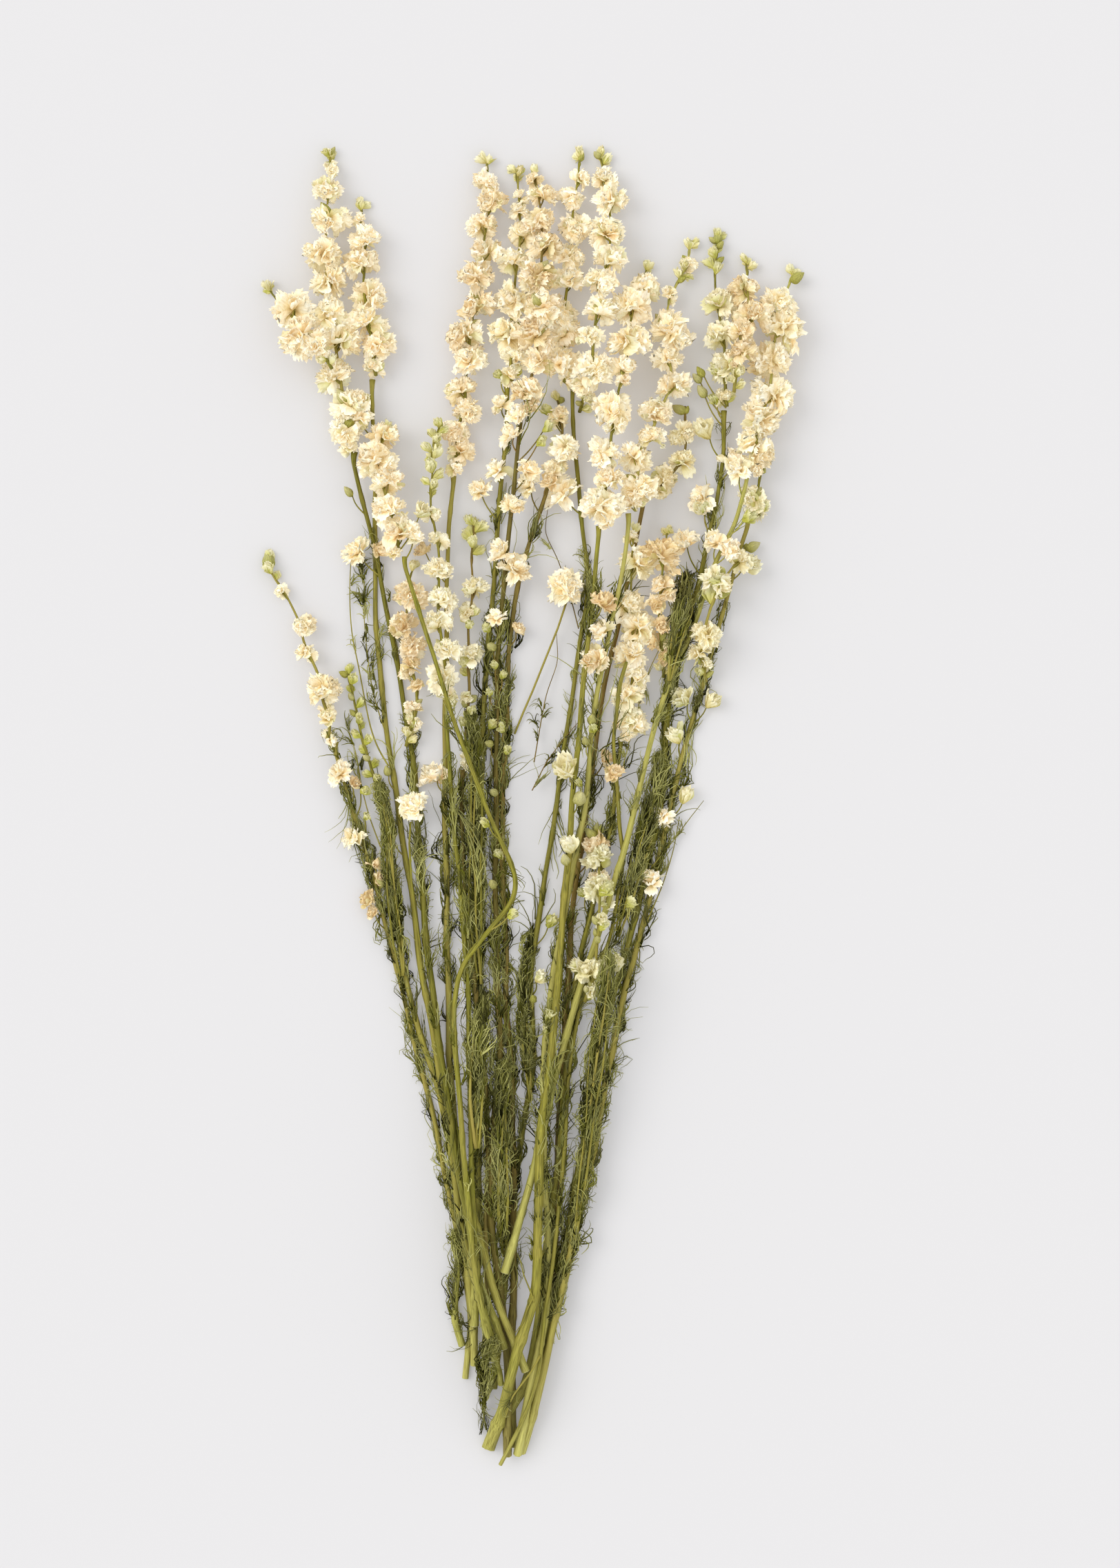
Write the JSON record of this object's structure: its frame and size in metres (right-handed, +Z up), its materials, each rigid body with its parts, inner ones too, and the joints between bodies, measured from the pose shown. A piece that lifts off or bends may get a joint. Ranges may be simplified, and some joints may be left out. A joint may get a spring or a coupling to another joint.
{
  "type": "bunch of dried larkspur",
  "caption": "Cut bunch of dried larkspur lying flat: slim dry stalks with thread leaves fan from a narrow foot into long spikes of crumpled double flowers and closed buds.",
  "frame": {"origin": "centre of the bottom of the bunch's bounding box, on the surface it lies on", "axes": "+Y from the cut feet towards the flower tips, +X to the right seen from above, +Z up out of the surface"},
  "size_m": [0.2666, 0.6512, 0.0385],
  "materials": {
    "stalk_olive": "dry ribbed plant stalk, olive green, matt with a faint sheen",
    "stalk_bright": "dry ribbed plant stalk, pale yellow green, matt with a faint sheen",
    "stalk_brown": "dry ribbed plant stalk, brown olive, matt",
    "petals": "papery crumpled petals, ivory with peach shading at the base, matt",
    "petals_aged": "papery crumpled petals aged to tan, matt",
    "buds": "closed buds and green-tinged flowers, yellow green, matt",
    "foliage": "curled dry thread leaves, dark grey green, matt"
  },
  "bodies": {
    "root": {"stem_outer_left": "stalk_olive", "flowers_outer_left": "petals", "stem_long_spike": "stalk_olive", "flowers_long_spike": "petals", "stem_thick_centre": "stalk_olive", "flowers_thick_centre": "petals", "stem_double_left": "stalk_olive", "flowers_double_left": "petals", "stem_green_right": "stalk_brown", "flowers_green_right": "petals", "stem_bud_right": "stalk_olive", "flowers_bud_right": "petals", "stem_outer_right": "stalk_olive", "flowers_outer_right": "petals", "stem_stub": "stalk_bright", "stem_bud_left": "stalk_olive", "flowers_bud_left": "buds", "stem_cream_sprig": "stalk_brown", "flowers_cream_sprig": "petals", "stem_middle": "stalk_brown", "flowers_middle": "petals", "stem_low_spike": "stalk_olive", "flowers_low_spike": "petals", "stem_right_middle": "stalk_bright", "flowers_right_middle": "petals", "stem_tan_centre": "stalk_brown", "flowers_tan_centre": "petals", "leaves_centre_lower": "foliage", "stem_wire": "stalk_olive", "stem_tall_left": "stalk_bright", "flowers_tall_left": "petals", "stem_far_left": "stalk_olive", "flowers_far_left": "petals", "stem_bud_spike": "stalk_olive", "flowers_bud_spike": "petals", "stem_bright_right": "stalk_bright", "flowers_bright_right": "petals", "stem_thick_foot": "stalk_bright", "flowers_thick_foot": "petals", "leaves_left_column": "foliage", "leaves_centre_upper": "foliage", "sprig_nodding_left": "petals_aged", "sprig_double_right": "petals", "sprig_inner_left": "petals_aged", "sprig_right_twin": "petals_aged", "sprig_brown_right": "petals_aged", "sprig_pale_right": "petals", "sprig_low_right": "buds", "sprig_lone_floret": "petals", "sprig_lone_white": "petals", "stem_looped": "stalk_bright", "flowers_looped": "petals", "leaves_right_head": "foliage", "leaves_right_column": "foliage", "leaves_right_lower": "foliage", "leaves_left_lower": "foliage", "leaves_inner_right": "foliage", "leaves_foot": "foliage"}
  },
  "joints": []
}
